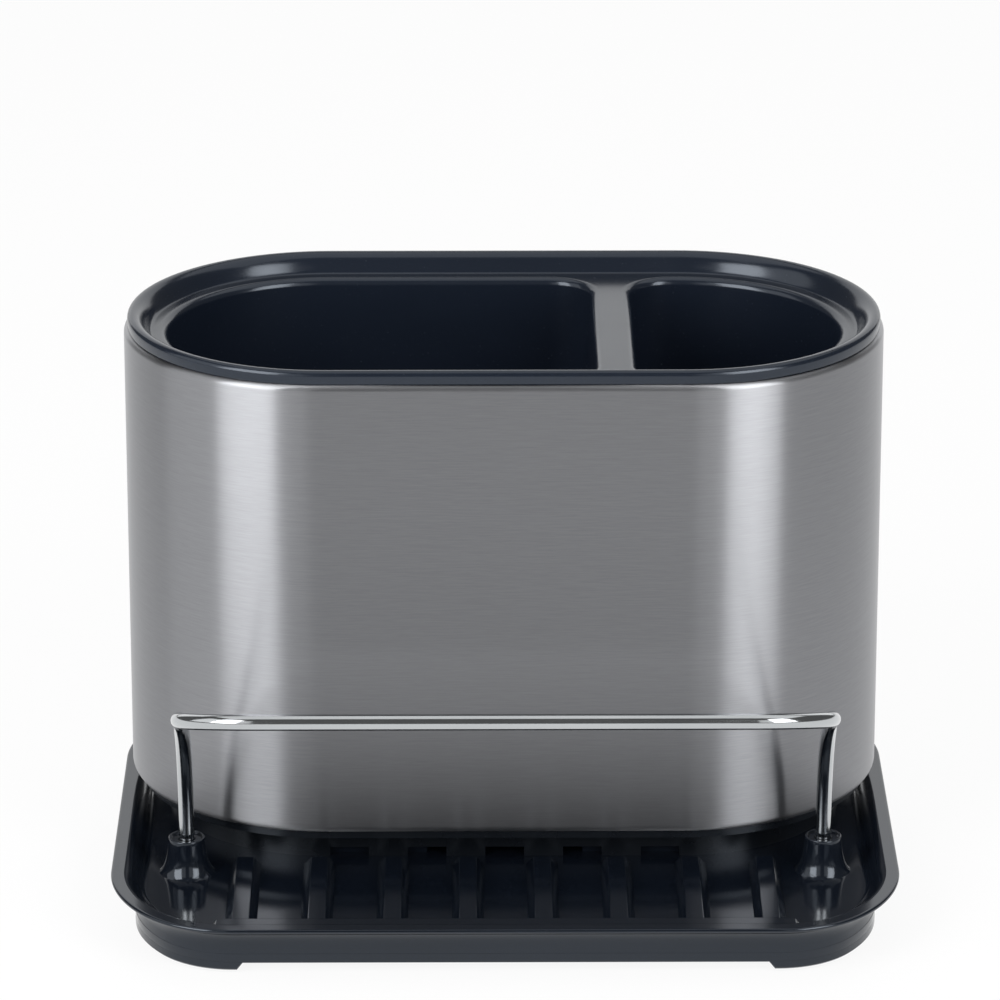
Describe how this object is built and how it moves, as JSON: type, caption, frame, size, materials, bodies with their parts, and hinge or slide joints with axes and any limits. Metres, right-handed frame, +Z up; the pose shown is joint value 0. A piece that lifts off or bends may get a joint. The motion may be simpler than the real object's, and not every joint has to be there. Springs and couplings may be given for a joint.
{
  "type": "sponge holder",
  "caption": "Sink-side caddy: a brushed steel box with a lift-out plastic insert divided into wells, standing on a plastic drip tray with a wire rail that keeps a sponge upright.",
  "frame": {"origin": "on the ground, under the middle of the drip tray", "axes": "+Z up, +X to the right along the tray's length seen from the front, -Y towards the front, where the rail is"},
  "size_m": [0.2004, 0.1557, 0.1444],
  "materials": {
    "tray_plastic": "glossy charcoal",
    "insert_plastic": "glossy charcoal",
    "base_plastic": "satin black",
    "brushed_steel": "brushed along its length",
    "rail_chrome": "polished",
    "pad_rubber": "matte"
  },
  "bodies": {
    "tray": {"drip_tray": "tray_plastic", "anti_slip_pad_back_right": "pad_rubber", "anti_slip_pad_back_left": "pad_rubber", "anti_slip_pad_front_right": "pad_rubber", "anti_slip_pad_front_left": "pad_rubber"},
    "caddy": {"steel_band": "brushed_steel", "base_plate": "base_plastic"},
    "insert": {"well_insert": "insert_plastic"},
    "rail": {"front_rail": "rail_chrome"}
  },
  "joints": [
    {"name": "caddy_lift", "type": "slide", "parent": "tray", "child": "caddy", "axis": [0, 0, 1], "range_m": [0, 0.03]},
    {"name": "insert_lift", "type": "slide", "parent": "caddy", "child": "insert", "axis": [0, 0, 1], "range_m": [0, 0.12]},
    {"name": "rail_pull", "type": "slide", "parent": "tray", "child": "rail", "axis": [0, 0, 1], "range_m": [0, 0.012]}
  ]
}
